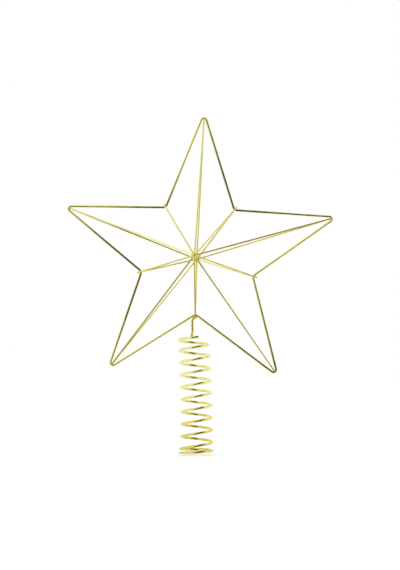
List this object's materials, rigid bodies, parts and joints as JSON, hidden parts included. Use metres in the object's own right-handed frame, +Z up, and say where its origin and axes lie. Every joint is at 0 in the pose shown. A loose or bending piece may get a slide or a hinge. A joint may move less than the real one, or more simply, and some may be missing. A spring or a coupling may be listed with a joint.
{
  "type": "christmas tree topper star",
  "caption": "Open star of welded gold-plated wire, raised to an apex on its front and back, on a springy coil that slips over a tree's top shoot.",
  "frame": {"origin": "centre of the coil's foot, where the tree's top shoot enters", "axes": "+Z up the coil's axis towards the star's top point, -Y towards the viewer who sees the star's front, +X to that viewer's right"},
  "size_m": [0.1981, 0.0472, 0.2515],
  "materials": {
    "outline_wire": "bright pale gold plating on steel wire",
    "spoke_wire": "bright pale gold plating on thin steel wire",
    "coil_wire": "bright pale gold plating on spring wire",
    "weld": "plated weld bead, a little duller and warmer than the wire"
  },
  "bodies": {
    "coil": {"coil": "coil_wire"},
    "star": {"star_outline": "outline_wire", "front_point_spoke_1": "spoke_wire", "front_point_spoke_2": "spoke_wire", "front_point_spoke_3": "spoke_wire", "front_point_spoke_4": "spoke_wire", "front_point_spoke_5": "spoke_wire", "front_notch_spoke_1": "spoke_wire", "front_notch_spoke_2": "spoke_wire", "front_notch_spoke_3": "spoke_wire", "front_notch_spoke_4": "spoke_wire", "front_notch_spoke_5": "spoke_wire", "back_point_spoke_1": "spoke_wire", "back_point_spoke_2": "spoke_wire", "back_point_spoke_3": "spoke_wire", "back_point_spoke_4": "spoke_wire", "back_point_spoke_5": "spoke_wire", "back_notch_spoke_1": "spoke_wire", "back_notch_spoke_2": "spoke_wire", "back_notch_spoke_3": "spoke_wire", "back_notch_spoke_4": "spoke_wire", "back_notch_spoke_5": "spoke_wire", "front_apex_weld": "weld", "back_apex_weld": "weld", "stem": "coil_wire", "stem_weld": "weld"}
  },
  "joints": [
    {"name": "coil_compress", "type": "slide", "parent": "coil", "child": "star", "axis": [0, 0, 1], "range_m": [-0.03, 0], "stiffness_N_per_m": 1600, "deforming": ["coil"]}
  ]
}
